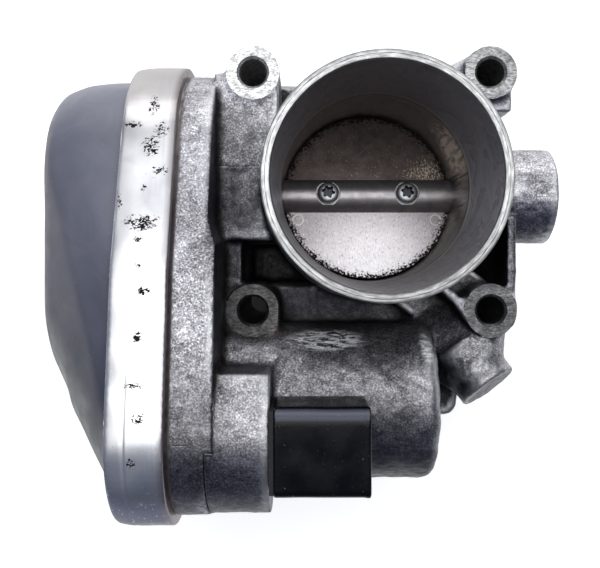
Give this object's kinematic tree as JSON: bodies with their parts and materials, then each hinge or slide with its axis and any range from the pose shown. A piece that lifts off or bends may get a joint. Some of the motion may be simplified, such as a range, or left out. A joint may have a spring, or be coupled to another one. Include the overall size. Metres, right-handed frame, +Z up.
{
  "type": "throttle body",
  "caption": "Cast drive-by-wire throttle body with a round air bore, butterfly plate, side motor, geared drive under a banded plastic cover, and a plug connector.",
  "frame": {"origin": "centre of the air bore on the engine flange face", "axes": "+Z up the bore from the flange to the inlet collar, +X along the throttle shaft away from the gears, +Y away from the motor"},
  "size_m": [0.1249, 0.1138, 0.077],
  "materials": {
    "cast_aluminium": "die cast, sparkling grain, dirt in the recesses",
    "band_aluminium": "satin rolled aluminium with chips",
    "cover_plastic": "satin moulded plastic, blue-grey",
    "black_plastic": "satin moulded plastic, black",
    "gear_plastic": "natural nylon",
    "board": "solder mask",
    "seal_rubber": "matt",
    "polished_steel": "ground and polished",
    "zinc_steel": "bright zinc plate",
    "spring_steel": "drawn wire",
    "plate_metal": "stamped sheet, sooty at the rim",
    "magnet": "sintered, dark",
    "bronze": "sintered bronze",
    "copper": "enamelled copper",
    "contact_metal": "tinned"
  },
  "bodies": {
    "housing": {"throttle_housing": "cast_aluminium", "gear_cover": "cover_plastic", "crimp_ring": "band_aluminium", "cover_gasket": "seal_rubber", "left_bearing": "polished_steel", "right_bearing": "polished_steel", "left_seal": "seal_rubber", "right_seal": "seal_rubber", "stub_plug": "zinc_steel", "spring_bushing": "gear_plastic", "return_spring": "spring_steel", "stop_pin": "polished_steel", "intermediate_pin": "polished_steel", "pin_clip": "spring_steel", "motor_can": "zinc_steel", "motor_magnets": "magnet", "motor_end_cap": "black_plastic", "motor_brushes": "magnet", "motor_front_bush": "bronze", "motor_rear_bush": "bronze", "motor_wave_washer": "spring_steel", "motor_screws": "zinc_steel", "connector_shell": "black_plastic", "connector_terminals": "contact_metal", "connector_seal": "seal_rubber", "lead_frame": "black_plastic", "sensor_board": "board"},
    "throttle": {"throttle_shaft": "polished_steel", "throttle_plate": "plate_metal", "plate_screws": "zinc_steel", "sector_gear": "gear_plastic", "sector_clip": "spring_steel", "sensor_magnet": "magnet"},
    "intermediate": {"intermediate_gear": "gear_plastic"},
    "rotor": {"motor_shaft": "polished_steel", "armature": "copper", "commutator": "copper", "motor_pinion": "bronze"}
  },
  "joints": [
    {"name": "throttle_turn", "type": "hinge", "parent": "housing", "child": "throttle", "pos_m": [0, 0, 0.032], "axis": [-1, 0, 0], "range_deg": [-8, 78], "stiffness_Nm_per_rad": 0.05, "deforming": ["return_spring"]},
    {"name": "intermediate_turn", "type": "hinge", "parent": "housing", "child": "intermediate", "pos_m": [0, -0.02821, 0.0422], "axis": [-1, 0, 0], "range_deg": [-216, 24]},
    {"name": "rotor_turn", "type": "hinge", "parent": "housing", "child": "rotor", "pos_m": [0, -0.052, 0.039], "axis": [-1, 0, 0], "range_deg": [-90, 860]}
  ],
  "couplings": [
    {"joint": "intermediate_turn", "follows": "throttle_turn", "ratio": -2.75},
    {"joint": "rotor_turn", "follows": "throttle_turn", "ratio": 11}
  ]
}
